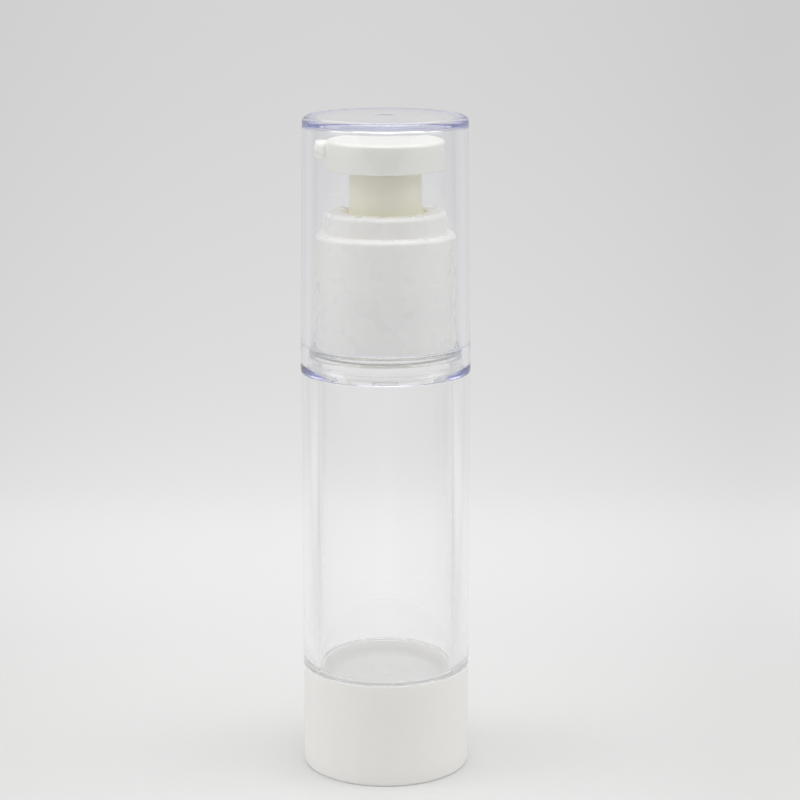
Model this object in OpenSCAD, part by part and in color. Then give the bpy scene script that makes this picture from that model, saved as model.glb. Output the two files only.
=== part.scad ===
// Airless pump bottle of 30 ml, in millimetres.
// The origin is at the middle of the base's underside, +Z is up and the nozzle points to -X.

/* [Bottle] */
// Outside diameter of the bottle
body_d = 34; // [33:0.5:40]
// Wall of the bottle beside its bore
body_wall = 3.5; // [3.2:0.1:4.2]
// Height of clear bottle between the base cup and the overcap
clear_h = 61.4; // [30:0.1:110]
// Height of the shoulder ring that the overcap grips
seat_h = 5.3; // [4.2:0.1:8]
// Thickness of the shoulder above the bore
shoulder_t = 1.8; // [1.4:0.1:3.4]
// Wall of the neck
neck_wall = 1.4; // [1.2:0.1:1.8]
// Height of the neck above the shoulder ring
neck_h = 18.8; // [16:0.1:24]

/* [Base cup] */
// Height of the base cup
base_h = 21.3; // [14:0.1:30]
// Wall of the base cup
cup_wall = 1.45; // [1.2:0.05:1.5]
// Thickness of the base cup's floor
cup_floor = 1.5; // [1:0.1:2.5]
// How far the floor's underside is raised off the table
foot_lift = 0.8; // [0.4:0.1:1.5]
// Width of the ring that the bottle stands on
foot_w = 2.2; // [1.5:0.1:4]
// Height of the ring inside the cup that the follower lands on
stop_h = 5.8; // [3:0.1:8]
// Thickness of the stop ring
stop_t = 1.2; // [0.8:0.1:2]
// Diameter of the vent hole that lets air in under the follower
vent_d = 1.6; // [1:0.1:3]

/* [Overcap] */
// Wall of the overcap
cap_wall = 2; // [1.6:0.05:2.1]
// Thickness of the overcap's roof
cap_roof = 1.5; // [1:0.1:2.5]
// How much the overcap narrows in radius from its rim to its roof
cap_draft = 0.65; // [0.2:0.05:0.8]
// Free height between the button and the roof
cap_headroom = 3.1; // [1.5:0.1:10]
// Radial play between the overcap and the shoulder ring
cap_play = 0.25; // [0.2:0.05:0.4]
// Depth of the recess inside the overcap's rim that goes over the shoulder ring
cap_recess = 0.6; // [0.3:0.05:0.8]
// Height of the lead-in inside the overcap's rim
cap_lead_h = 1.35; // [0.6:0.05:2]
// Radial room between the overcap and the collar's step, which shares the spare radius with well_play
cap_room = 0.66; // [0.4:0.02:1]
// Radius on the overcap's top edge
cap_edge = 0.9; // [0.4:0.1:1.2]

/* [Collar] */
// Wall of the collar
collar_wall = 1.1; // [0.9:0.05:1.3]
// Diameter of the collar's upper ring
collar_ring_d = 24.3; // [23.4:0.1:26]
// Height of the collar's upper ring above its step
collar_ring_h = 4.2; // [2:0.1:8]
// Radius on the collar's outer edges
collar_edge = 0.85; // [0.3:0.05:0.9]

/* [Button] */
// Diameter of the button
button_d = 23.5; // [22:0.1:24.5]
// Height of the button
button_h = 5.8; // [5.4:0.1:9]
// Free height between the collar and the button at rest
button_rise = 8.3; // [6:0.1:14]
// Wall and top thickness of the button
button_wall = 1.2; // [0.9:0.1:1.4]
// Number of stiffening ribs under the button
rib_count = 8; // [4:1:12]
// Diameter of the nozzle tube
nozzle_d = 3.5; // [3:0.1:3.6]
// Diameter of the outlet bore
outlet_d = 1.8; // [1:0.1:2]

/* [Pump] */
// Travel of the button
stroke = 5; // [3:0.1:5.4]
// Diameter of the natural sleeve under the button
sleeve_d = 14.5; // [14:0.1:15.4]
// Wall of the sleeve
sleeve_wall = 0.75; // [0.6:0.05:1]
// Radial room between the sleeve and the well it goes down into, which shares the spare radius with cap_room
well_play = 1.45; // [0.8:0.05:2]
// Wall of the well and of the snap skirt
chassis_wall = 0.8; // [0.7:0.05:1]
// Thickness of the housing's flange over the neck
flange_t = 1.8; // [1.2:0.1:2.4]
// Thickness of the neck gasket
gasket_t = 1; // [0.6:0.1:1.6]
// Bore of the metering cylinder
cylinder_d = 9.2; // [8.4:0.1:9.6]
// Wall of the metering cylinder
cylinder_wall = 1.1; // [0.8:0.05:1.2]
// Outside diameter of the stem
stem_d = 5; // [4.4:0.1:5.4]
// Bore of the stem
stem_bore_d = 2.6; // [2:0.1:2.8]
// Lost motion between the stem and the pump seal
seal_slip = 0.8; // [0.5:0.1:1.2]
// Height of the pump seal's hub
seal_h = 4.2; // [3:0.1:5]
// Diameter of the inlet ball
ball_d = 2.5; // [2:0.1:2.6]
// How far the inlet ball lifts
ball_lift = 0.8; // [0.5:0.1:1]

/* [Spring] */
// Wire of the return spring
wire_d = 0.9; // [0.7:0.05:0.95]
// Mean diameter of the return spring
coil_d = 9.2; // [8.4:0.1:10]
// Turns of the return spring
coil_turns = 6; // [4:1:6]

/* [Follower] */
// Height of the follower piston
follower_h = 13.25; // [8:0.05:18]
// Depth of the cup in the follower's top
follower_cup = 2.3; // [1.5:0.1:4]
// Depth of the well in the middle of the cup
follower_well = 1.3; // [0.5:0.1:2.5]
// Diameter of that well
follower_well_d = 11; // [6:0.5:14]
// Wall of the follower
follower_wall = 1.2; // [0.9:0.1:1.8]

/* [Hidden] */
$fn = 96;

// Clearances
slide_fit = 0.08; // radial, a sliding seal or a stem in its guide
push_fit = 0.05; // radial, two pieces pushed together
face_gap = 0.1; // along the axis, between pieces that move against each other
spigot_gap = 0.3; // under the bottle's end inside the base cup
recess_gap = 0.3; // over the shoulder ring inside the overcap
nozzle_gap = 0.45; // between the nozzle's tip and the overcap
hole_play = 1.09; // between the sleeve and the collar's hole
cage_play = 0.35; // between the inlet ball and its cage
sleeve_room = 0.5; // left under the sleeve at the end of the stroke
valve_room = 0.4; // left under the valve at the end of the stroke
overlap = 1; // how far a cutting shape runs past what it cuts

// Small moulded features
snap_bead = 0.25; // height of a snap bead
seat_bead_w = 1.8; // width of the low bead round the shoulder ring
snap_w = 1.2; // width of a snap bead
snap_drop = 1.2; // from the sleeve's top down to its bead
neck_bead = 0.5; // height of the bead that the snap skirt grips
plug_seal = 0.6; // how far the sealing ring stands out from the well
soft_edge = 0.3; // radius on a moulded edge
fine_edge = 0.15; // radius on an edge that seals
round_edge = 0.6; // radius on an edge that is held
draft_lip = 0.8; // land beside a lip or a lead-in
gate_r = 0.9; // radius of the gate mark on the overcap's roof
gate_depth = 0.15; // depth of the gate mark
arc_steps = 5; // straight steps in a rounded corner
side_share = 0.48; // part of a side that a rounded corner may take

// Radii of the bottle, its base and the overcap
cap_proud = 0.08;
body_r = body_d / 2;
bore_r = body_r - body_wall;
cup_r = body_r - push_fit;
spigot_r = cup_r - cup_wall - push_fit;
cap_r = body_r + cap_proud;
cap_inner_r = cap_r - cap_wall;
cap_recess_r = cap_inner_r + cap_recess;
seat_r = cap_recess_r - cap_play;
cap_top_r = cap_r - cap_draft;
cap_top_inner_r = cap_top_r - cap_wall;
nozzle_tip = cap_top_inner_r - nozzle_gap;

// Heights of the bottle
cone_h = 0.3;
ledge_z = base_h + clear_h;
seat_z = ledge_z + seat_h;
bore_top_z = seat_z - shoulder_t;
neck_top_z = seat_z + neck_h;
floor_z = foot_lift + cup_floor;
follower_z = floor_z + stop_h + face_gap / 2;
follower_top_z = follower_z + follower_h;

// Heights of the collar, the button and the overcap
nozzle_drop = 0.1;
flange_z = neck_top_z + gasket_t;
flange_top_z = flange_z + flange_t;
collar_step_z = flange_top_z + collar_wall;
collar_top_z = collar_step_z + collar_ring_h;
button_z = collar_top_z + button_rise;
button_top_z = button_z + button_h;
nozzle_z = button_top_z - nozzle_d / 2 - nozzle_drop;
cap_rim_z = ledge_z + face_gap / 2;
cap_roof_z = button_top_z + cap_headroom;
cap_top_z = cap_roof_z + cap_roof;

// Radius of the overcap's inside at the height z
function cap_inner_at(z) = cap_inner_r - cap_draft * (z - cap_rim_z) / (cap_roof_z - cap_rim_z);

// Radii of the pump, from the sleeve out to the collar: the well and the overcap's room share what is spare
sleeve_r = sleeve_d / 2;
sleeve_inner_r = sleeve_r - sleeve_wall;
stack_t = 2 * chassis_wall + plug_seal + neck_wall + neck_bead + collar_wall + 3 * push_fit;
spare_r = cap_inner_at(collar_step_z) - sleeve_r - stack_t;
well_r = sleeve_r + spare_r * well_play / (well_play + cap_room);
well_outer_r = well_r + chassis_wall;
neck_inner_r = well_outer_r + plug_seal + push_fit;
neck_r = neck_inner_r + neck_wall;
skirt_r = neck_r + neck_bead + push_fit;
skirt_outer_r = skirt_r + chassis_wall;
collar_inner_r = skirt_outer_r + push_fit;
collar_r = collar_inner_r + collar_wall;
collar_ring_r = collar_ring_d / 2;
hole_r = sleeve_r + hole_play;

// Radii inside the metering cylinder
rod_step = 0.35;
valve_land = 1.2;
seat_ratio = 0.72; // radius of the inlet over that of its ball
cylinder_r = cylinder_d / 2;
cylinder_outer_r = cylinder_r + cylinder_wall;
stem_r = stem_d / 2;
stem_bore_r = stem_bore_d / 2;
guide_r = stem_r + slide_fit;
rod_r = stem_bore_r + rod_step;
seal_bore_r = rod_r + slide_fit;
valve_r = seal_bore_r + valve_land;
ball_r = ball_d / 2;
inlet_r = ball_r * seat_ratio;
ball_drop = sqrt(ball_r * ball_r - inlet_r * inlet_r);
cage_r = ball_r + cage_play;

// Heights of the metering cylinder and the moving stem
retainer_drop = 1.7;
retainer_t = 0.8;
guide_h = 2.4;
seal_lip_h = 1.8;
valve_t = 1;
cage_h = 0.5;
cage_gap = 0.2;
seat_t = 1.1;
retainer_z = flange_z - retainer_drop;
spring_z = retainer_z + retainer_t;
sleeve_z = spring_z - face_gap;
well_floor_z = sleeve_z - stroke - sleeve_room;
retainer_low_z = retainer_z - guide_h;
seal_top_z = retainer_low_z - face_gap;
seal_hub_z = seal_top_z - seal_lip_h;
seal_z = seal_hub_z - seal_h;
stem_z = seal_hub_z + seal_slip + face_gap / 2;
valve_z = seal_z - valve_t - face_gap / 2;
cylinder_z = valve_z - stroke - valve_room;
seat_top_z = cylinder_z - cage_h - cage_gap - ball_lift - ball_r - ball_drop;
chassis_z = seat_top_z - seat_t;
ball_z = seat_top_z + ball_drop + push_fit;

// Radii and heights under the button
hub_wall = 1.3;
hub_drop = 2.2;
ring_wall = 0.9;
nozzle_clear = 0.3;
outlet_clear = 0.2;
stem_shoulder_t = 1;
button_r = button_d / 2;
button_ceiling_z = button_top_z - button_wall;
socket_r = stem_r + push_fit;
hub_r = socket_r + hub_wall;
sleeve_top_z = nozzle_z - nozzle_d / 2 - nozzle_clear;
snap_z = sleeve_top_z - snap_drop;
snap_ring_r = sleeve_r + push_fit;
snap_ring_outer_r = snap_ring_r + ring_wall;
shoulder_r = coil_d / 2 + wire_d;
hub_z = button_z - hub_drop;
shoulder_z = hub_z - stem_shoulder_t - face_gap / 2;
stem_top_z = nozzle_z - outlet_d / 2 - outlet_clear;

function unit(v) = v / norm(v);

// Points of the arc that rounds the corner p between its neighbours a and b, limited by the sides beside it
function fillet(a, p, b, edge) =
    let (
        u = unit(a - p),
        v = unit(b - p),
        half = acos(u * v) / 2,
        reach = min(edge / tan(half), side_share * norm(a - p), side_share * norm(b - p)),
        r = reach * tan(half),
        middle = p + unit(u + v) * r / sin(half),
        first = p + u * reach - middle,
        last = p + v * reach - middle,
        start = atan2(first.y, first.x),
        turn = atan2(cross(first, last), first * last)
    )
    [for (i = [0 : arc_steps])
        let (angle = start + turn * i / arc_steps)
        middle + r * [cos(angle), sin(angle)]];

function flat(c) = [c.x, c.y];

// Outline from corners given as [radius, height] or [radius, height, corner radius]
function outline(corners) =
    let (n = len(corners))
    [for (i = [0 : n - 1])
        let (c = corners[i])
        each is_undef(c[2]) ? [flat(c)]
            : fillet(flat(corners[(i + n - 1) % n]), flat(c), flat(corners[(i + 1) % n]), c[2])];

module revolved(corners) {
    rotate_extrude() polygon(outline(corners));
}

module bottle_body() {
    cap_bead_drop = 2.8;
    neck_bead_drop = 2.6;
    spigot_z = floor_z + spigot_gap;
    bead_z = spigot_z + draft_lip;
    cap_bead_z = seat_z - cap_bead_drop;
    neck_bead_z = neck_top_z - neck_bead_drop;
    color([0.86, 0.88, 0.9, 0.35]) revolved([
        [bore_r, spigot_z],
        [spigot_r - soft_edge, spigot_z],
        [spigot_r, spigot_z + soft_edge],
        [spigot_r, bead_z],
        [spigot_r + snap_bead, bead_z + snap_w / 2],
        [spigot_r, bead_z + snap_w],
        [spigot_r, base_h],
        [body_r, base_h],
        [body_r, ledge_z, fine_edge],
        [seat_r, ledge_z],
        [seat_r, cap_bead_z - seat_bead_w / 2],
        [seat_r + snap_bead / 2, cap_bead_z],
        [seat_r, cap_bead_z + seat_bead_w / 2],
        [seat_r, seat_z, round_edge],
        [neck_r, seat_z],
        [neck_r, neck_bead_z - snap_w],
        [neck_r + neck_bead, neck_bead_z],
        [neck_r + neck_bead, neck_bead_z + snap_w / 2],
        [neck_r, neck_top_z - soft_edge],
        [neck_r - soft_edge, neck_top_z],
        [neck_inner_r, neck_top_z],
        [neck_inner_r, bore_top_z, soft_edge],
        [bore_r, bore_top_z - cone_h, soft_edge]
    ]);
}

module base_cup() {
    inner_r = cup_r - cup_wall;
    groove_z = floor_z + spigot_gap + draft_lip;
    stop_r = bore_r - slide_fit;
    color([0.93, 0.92, 0.9]) difference() {
        revolved([
            [0, foot_lift],
            [cup_r - foot_w, foot_lift, soft_edge],
            [cup_r - foot_w + foot_lift / 2, 0],
            [cup_r, 0, round_edge],
            [cup_r, base_h],
            [inner_r, base_h],
            [inner_r, groove_z + snap_w + push_fit],
            [inner_r + snap_bead, groove_z + snap_w / 2],
            [inner_r, groove_z - push_fit],
            [inner_r, floor_z],
            [stop_r, floor_z],
            [stop_r, floor_z + stop_h, soft_edge],
            [stop_r - stop_t, floor_z + stop_h, soft_edge],
            [stop_r - stop_t, floor_z, soft_edge],
            [0, floor_z]
        ]);
        translate([0, 0, foot_lift - overlap]) cylinder(d = vent_d, h = cup_floor + 2 * overlap);
    }
}

module follower_piston() {
    lip_h = 1.6;
    lip_taper = 1.2;
    lip_flare = 0.45;
    rim_w = 0.35;
    rim_slope = 2.2;
    well_slope = 0.5;
    lip_r = bore_r - slide_fit;
    waist_r = lip_r - lip_flare;
    floor_r = lip_r - rim_slope;
    well_r = follower_well_d / 2;
    low = follower_z;
    high = follower_top_z;
    dish_z = high - follower_cup;
    pit_z = dish_z - follower_well;
    color([0.9, 0.9, 0.88]) revolved([
        [0, pit_z],
        [0, pit_z - follower_wall],
        [well_r - well_slope + follower_wall / 2, pit_z - follower_wall, soft_edge],
        [well_r + follower_wall, dish_z - follower_wall, soft_edge],
        [waist_r - follower_wall, dish_z - follower_wall, round_edge],
        [waist_r - follower_wall, low + lip_h + lip_taper],
        [lip_r - draft_lip, low],
        [lip_r, low, fine_edge],
        [lip_r, low + lip_h],
        [waist_r, low + lip_h + lip_taper],
        [waist_r, high - lip_h - lip_taper],
        [lip_r, high - lip_h],
        [lip_r, high],
        [lip_r - rim_w, high],
        [floor_r, dish_z, round_edge],
        [well_r, dish_z, soft_edge],
        [well_r - well_slope, pit_z, soft_edge]
    ]);
}

module pump_chassis() {
    skirt_h = 7;
    plug_h = 4;
    floor_cone = 1;
    skirt_bottom_z = neck_top_z - skirt_h;
    bead_z = skirt_bottom_z + draft_lip;
    plug_z = flange_z - plug_h;
    cage_outer_r = cage_r + cylinder_wall;
    floor_low_z = cylinder_z - cylinder_wall / 2;
    color([0.9, 0.9, 0.84]) difference() {
        revolved([
            [inlet_r, chassis_z],
            [cage_outer_r, chassis_z, soft_edge],
            [cage_outer_r, floor_low_z - floor_cone],
            [cylinder_outer_r, floor_low_z, soft_edge],
            [cylinder_outer_r, well_floor_z - chassis_wall, soft_edge],
            [well_outer_r, well_floor_z - chassis_wall, soft_edge],
            [well_outer_r, plug_z - plug_seal],
            [well_outer_r + plug_seal, plug_z],
            [well_outer_r + plug_seal, plug_z + snap_w],
            [well_outer_r, plug_z + snap_w + plug_seal],
            [well_outer_r, flange_z],
            [skirt_r, flange_z],
            [skirt_r, bead_z + snap_w],
            [skirt_r - neck_bead / 2, bead_z + snap_w / 2],
            [skirt_r, skirt_bottom_z],
            [skirt_outer_r, skirt_bottom_z, soft_edge],
            [skirt_outer_r, flange_top_z],
            [well_r, flange_top_z, soft_edge],
            [well_r, well_floor_z, soft_edge],
            [cylinder_outer_r, well_floor_z],
            [cylinder_outer_r, retainer_z],
            [cylinder_r, retainer_z],
            [cylinder_r, cylinder_z],
            [cage_r, cylinder_z],
            [cage_r, seat_top_z + cage_r - inlet_r],
            [inlet_r, seat_top_z]
        ]);
        snap_slots(skirt_bottom_z);
    }
    color([0.9, 0.9, 0.84]) ball_cage();
}

// Slots that let the snap skirt spread over the neck bead
module snap_slots(skirt_bottom_z) {
    slots = 6;
    slot_w = 1.2;
    slot_h = 4.6;
    for (i = [0 : slots - 1])
        rotate([0, 0, 360 / slots * (i + 0.5)])
            translate([neck_r, -slot_w / 2, skirt_bottom_z - overlap])
                cube([skirt_outer_r - neck_r + overlap, slot_w, slot_h + overlap]);
}

// Nibs that keep the inlet ball over its seat
module ball_cage() {
    nibs = 4;
    nib_w = 0.7;
    nib_hold = 0.3;
    reach = ball_r - nib_hold;
    for (i = [0 : nibs - 1])
        rotate([0, 0, 360 / nibs * i])
            translate([reach, -nib_w / 2, cylinder_z - cage_h])
                cube([cage_r - reach + cylinder_wall / 2, nib_w, cage_h]);
}

module neck_gasket() {
    color([0.82, 0.84, 0.86]) revolved([
        [neck_inner_r, neck_top_z],
        [neck_r, neck_top_z],
        [neck_r, flange_z],
        [neck_inner_r, flange_z]
    ]);
}

module collar() {
    lip_h = 1.6;
    lip_t = 0.7;
    color([0.93, 0.92, 0.9]) revolved([
        [collar_inner_r, seat_z],
        [collar_r, seat_z],
        [collar_r, collar_step_z, collar_edge],
        [collar_ring_r, collar_step_z, soft_edge],
        [collar_ring_r, collar_top_z, collar_edge],
        [hole_r, collar_top_z, soft_edge],
        [hole_r, collar_top_z - lip_h],
        [hole_r + lip_t, collar_top_z - lip_h],
        [hole_r + lip_t, collar_top_z - collar_wall],
        [collar_ring_r - collar_wall, collar_top_z - collar_wall],
        [collar_ring_r - collar_wall, flange_top_z],
        [collar_inner_r, flange_top_z]
    ]);
}

module stem_retainer() {
    color([0.93, 0.92, 0.88]) revolved([
        [guide_r, retainer_low_z, soft_edge],
        [cylinder_r - push_fit, retainer_low_z, soft_edge],
        [cylinder_r - push_fit, retainer_z],
        [cylinder_outer_r, retainer_z],
        [cylinder_outer_r, spring_z],
        [guide_r, spring_z, soft_edge]
    ]);
}

// Spring: the end turns lie closer together than the turns that work between them
coil_r = coil_d / 2;
ring_steps = 8;
wire_sides = 6;
coil_rings = coil_turns * ring_steps;
coil_low_z = spring_z + wire_d / 2 + push_fit;
coil_high_z = shoulder_z - wire_d / 2 - push_fit;
turn_gap = 0.45;
end_climb = wire_d + turn_gap;
work_climb = (coil_high_z - coil_low_z - 2 * end_climb) / (coil_turns - 2);

function wire_height(turn) =
    turn < 1 ? coil_low_z + turn * end_climb
        : turn > coil_turns - 1 ? coil_high_z - (coil_turns - turn) * end_climb
        : coil_low_z + end_climb + (turn - 1) * work_climb;

function wire_middle(i) =
    let (angle = 360 * i / ring_steps)
    [coil_r * cos(angle), coil_r * sin(angle), wire_height(i / ring_steps)];

function wire_ring(i) =
    let (middle = wire_middle(i), outward = unit([middle.x, middle.y, 0]))
    [for (k = [0 : wire_sides - 1])
        let (side = 360 / wire_sides * (k + 0.5))
        middle + wire_d / 2 * (cos(side) * outward + [0, 0, sin(side)])];

function wire_quads(i) =
    [for (k = [0 : wire_sides - 1])
        let (a = i * wire_sides + k, b = i * wire_sides + (k + 1) % wire_sides)
        each [[a, b, a + wire_sides], [b, b + wire_sides, a + wire_sides]]];

function end_cap(i, turned) =
    [for (k = [1 : wire_sides - 2])
        turned ? [i * wire_sides, i * wire_sides + k, i * wire_sides + k + 1]
            : [i * wire_sides, i * wire_sides + k + 1, i * wire_sides + k]];

module return_spring() {
    points = [for (i = [0 : coil_rings]) each wire_ring(i)];
    faces = concat(
        [for (i = [0 : coil_rings - 1]) each wire_quads(i)],
        end_cap(0, false),
        end_cap(coil_rings, true)
    );
    gaps = [for (i = [0 : coil_rings - ring_steps])
        norm(wire_middle(i + ring_steps) - wire_middle(i)) - wire_d];
    echo(least_gap_between_turns = min(gaps));
    color([0.75, 0.76, 0.78]) polyhedron(points, faces);
}

module stem() {
    color([0.93, 0.92, 0.88]) revolved([
        [stem_bore_r, stem_z],
        [stem_r, stem_z],
        [stem_r, shoulder_z, soft_edge],
        [shoulder_r, shoulder_z],
        [shoulder_r, shoulder_z + stem_shoulder_t, soft_edge],
        [stem_r, shoulder_z + stem_shoulder_t],
        [stem_r, stem_top_z - soft_edge],
        [stem_r - soft_edge, stem_top_z],
        [stem_bore_r, stem_top_z]
    ]);
}

// Valve rod: the seal slides on the rod, and flutes lead the product past it into the stem
module stem_plug() {
    spigot_h = 4;
    lead_in = 0.4;
    flutes = 4;
    flute_w = 0.8;
    core_r = 0.7;
    color([0.88, 0.9, 0.92]) difference() {
        revolved([
            [0, valve_z],
            [valve_r, valve_z, soft_edge],
            [valve_r, valve_z + valve_t],
            [rod_r, valve_z + valve_t],
            [rod_r, stem_z],
            [stem_bore_r - push_fit, stem_z],
            [stem_bore_r - push_fit, stem_z + spigot_h - lead_in],
            [stem_bore_r - push_fit - lead_in, stem_z + spigot_h],
            [0, stem_z + spigot_h]
        ]);
        for (i = [0 : flutes - 1])
            rotate([0, 0, 360 / flutes * i])
                translate([core_r, -flute_w / 2, valve_z + valve_t])
                    cube([rod_r, flute_w, stem_z + spigot_h + overlap - valve_z - valve_t]);
    }
}

module pump_seal() {
    lip_t = 0.6;
    lip_flare = 0.4;
    lip_rise = 0.4;
    web_t = 1.4;
    web_drop = 0.6;
    lip_r = cylinder_r - slide_fit / 2;
    waist_r = lip_r - lip_flare;
    low_lip_z = seal_z + lip_rise;
    web_z = seal_hub_z - web_t - web_drop;
    color([0.9, 0.9, 0.84]) revolved([
        [seal_bore_r, seal_z],
        [valve_r - soft_edge, seal_z, fine_edge],
        [valve_r - soft_edge, web_z, soft_edge],
        [waist_r - lip_t, web_z, soft_edge],
        [lip_r - lip_t, low_lip_z],
        [lip_r, low_lip_z],
        [lip_r, low_lip_z + lip_t],
        [waist_r, low_lip_z + 2 * lip_t],
        [waist_r, seal_top_z - 2 * lip_t],
        [lip_r, seal_top_z - lip_t],
        [lip_r, seal_top_z],
        [lip_r - lip_t, seal_top_z],
        [waist_r - lip_t, web_z + web_t, soft_edge],
        [stem_r, web_z + web_t, soft_edge],
        [stem_r, seal_hub_z],
        [seal_bore_r, seal_hub_z]
    ]);
}

module inlet_ball() {
    color([0.78, 0.79, 0.8]) translate([0, 0, ball_z]) sphere(r = ball_r);
}

module stem_sleeve() {
    bead = snap_bead / 2;
    color([0.84, 0.84, 0.76]) revolved([
        [sleeve_inner_r, sleeve_z],
        [sleeve_r - soft_edge, sleeve_z],
        [sleeve_r, sleeve_z + soft_edge],
        [sleeve_r, snap_z - snap_w / 2],
        [sleeve_r + bead, snap_z],
        [sleeve_r, snap_z + snap_w / 2],
        [sleeve_r, sleeve_top_z],
        [sleeve_inner_r, sleeve_top_z]
    ]);
}

module actuator() {
    color([0.95, 0.94, 0.92]) difference() {
        union() {
            button_shell();
            button_hub();
            button_ribs();
            translate([0, 0, nozzle_z]) rotate([0, -90, 0]) cylinder(d = nozzle_d, h = nozzle_tip);
        }
        translate([0, 0, hub_z - overlap]) cylinder(r = socket_r, h = stem_top_z - hub_z + overlap);
        translate([0, 0, hub_z]) cylinder(d = outlet_d, h = nozzle_z - hub_z);
        translate([outlet_d / 2, 0, nozzle_z]) rotate([0, -90, 0])
            cylinder(d = outlet_d, h = outlet_d / 2 + nozzle_tip + overlap);
    }
}

module button_shell() {
    revolved([
        [0, button_ceiling_z],
        [button_r - button_wall, button_ceiling_z, soft_edge],
        [button_r - button_wall, button_z],
        [button_r, button_z, soft_edge],
        [button_r, button_top_z, round_edge],
        [0, button_top_z]
    ]);
}

// Hub for the stem, and the ring that the sleeve snaps into
module button_hub() {
    groove = snap_bead / 2;
    translate([0, 0, hub_z]) cylinder(r = hub_r, h = button_ceiling_z - hub_z + soft_edge);
    revolved([
        [snap_ring_r, button_z + soft_edge],
        [snap_ring_outer_r, button_z + soft_edge],
        [snap_ring_outer_r, button_ceiling_z + soft_edge],
        [sleeve_inner_r, button_ceiling_z + soft_edge],
        [sleeve_inner_r, sleeve_top_z],
        [snap_ring_r, sleeve_top_z],
        [snap_ring_r, snap_z + snap_w / 2],
        [snap_ring_r + groove, snap_z],
        [snap_ring_r, snap_z - snap_w / 2]
    ]);
}

module button_ribs() {
    rib_t = 0.8;
    rib_bite = 0.2;
    inner_r = snap_ring_outer_r - rib_bite;
    outer_r = button_r - button_wall + rib_bite;
    for (i = [0 : rib_count - 1])
        rotate([0, 0, 360 / rib_count * (i + 0.5)])
            translate([inner_r, -rib_t / 2, sleeve_top_z])
                cube([outer_r - inner_r, rib_t, button_ceiling_z + soft_edge - sleeve_top_z]);
}

module overcap() {
    rim_h = 1.2;
    lead_in = 0.55;
    recess_z = seat_z + recess_gap;
    color([0.86, 0.88, 0.94, 0.35]) revolved([
        [cap_recess_r, cap_rim_z + cap_lead_h, soft_edge],
        [cap_recess_r + lead_in, cap_rim_z],
        [cap_r, cap_rim_z, soft_edge],
        [cap_r, cap_rim_z + rim_h],
        [cap_top_r, cap_top_z, cap_edge],
        [gate_r + gate_depth, cap_top_z],
        [gate_r, cap_top_z - gate_depth],
        [0, cap_top_z - gate_depth],
        [0, cap_roof_z],
        [cap_top_inner_r, cap_roof_z, round_edge],
        [cap_inner_at(recess_z), recess_z],
        [cap_recess_r, recess_z, fine_edge]
    ]);
}

bottle_body();
base_cup();
follower_piston();
pump_chassis();
neck_gasket();
collar();
stem_retainer();
return_spring();
stem();
stem_plug();
pump_seal();
inlet_ball();
stem_sleeve();
actuator();
overcap();
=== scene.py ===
import math

import bpy
import numpy as np
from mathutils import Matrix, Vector


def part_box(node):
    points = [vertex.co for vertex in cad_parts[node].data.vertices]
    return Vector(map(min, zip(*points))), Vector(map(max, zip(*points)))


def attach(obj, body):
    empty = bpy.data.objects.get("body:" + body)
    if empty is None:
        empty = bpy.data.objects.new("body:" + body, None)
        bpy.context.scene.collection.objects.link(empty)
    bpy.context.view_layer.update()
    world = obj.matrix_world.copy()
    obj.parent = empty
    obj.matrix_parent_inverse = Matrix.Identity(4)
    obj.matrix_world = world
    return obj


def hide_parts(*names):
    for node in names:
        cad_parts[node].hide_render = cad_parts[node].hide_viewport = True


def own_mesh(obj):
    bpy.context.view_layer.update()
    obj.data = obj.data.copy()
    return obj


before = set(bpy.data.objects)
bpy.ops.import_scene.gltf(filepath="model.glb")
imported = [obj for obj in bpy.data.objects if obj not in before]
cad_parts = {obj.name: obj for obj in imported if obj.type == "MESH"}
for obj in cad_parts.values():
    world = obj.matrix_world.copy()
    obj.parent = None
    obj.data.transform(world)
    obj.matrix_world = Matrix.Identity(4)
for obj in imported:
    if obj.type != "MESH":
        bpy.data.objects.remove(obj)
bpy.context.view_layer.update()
scene = bpy.context.scene
mm = 0.001
print("frame loaded with", len(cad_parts), "nodes")


# Meshes and shader nodes in a few words each

def gridQuads(rows, columns, closeRows=False, closeColumns=False):
    # Every cell of a grid of points as four numbers, wrapped round where a side is closed.
    i = np.arange(rows if closeRows else rows - 1)
    j = np.arange(columns if closeColumns else columns - 1)
    a, b = np.meshgrid(i, j, indexing="ij")
    nextA, nextB = (a + 1) % rows, (b + 1) % columns
    return np.stack([a * columns + b, a * columns + nextB, nextA * columns + nextB,
                     nextA * columns + b], axis=-1).reshape(-1, 4)


def makeObject(name, points, faces):
    # A smooth mesh from an array of points in metres and the numbers of each face's corners.
    mesh = bpy.data.meshes.new(name)
    mesh.from_pydata(points.reshape(-1, 3).tolist(), [], [f.tolist() for f in faces])
    mesh.validate()
    mesh.shade_smooth()
    thing = bpy.data.objects.new(name, mesh)
    scene.collection.objects.link(thing)
    return thing


def nodeTree(name):
    material = bpy.data.materials.new(name)
    material.use_nodes = True
    material.node_tree.nodes.clear()
    return material, material.node_tree.nodes, material.node_tree.links


def addNode(nodes, kind, **settings):
    node = nodes.new("ShaderNode" + kind)
    for key, value in settings.items():
        setattr(node, key, value)
    return node


def feed(links, socket, given):
    # A number or a colour is set on the socket, and anything else is linked to it.
    if isinstance(given, (int, float, tuple)):
        socket.default_value = given
    else:
        links.new(given, socket)


def mathNode(nodes, links, operation, first, second=0.0, clamp=False):
    node = addNode(nodes, "Math", operation=operation, use_clamp=clamp)
    feed(links, node.inputs[0], first)
    feed(links, node.inputs[1], second)
    return node.outputs[0]


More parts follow.
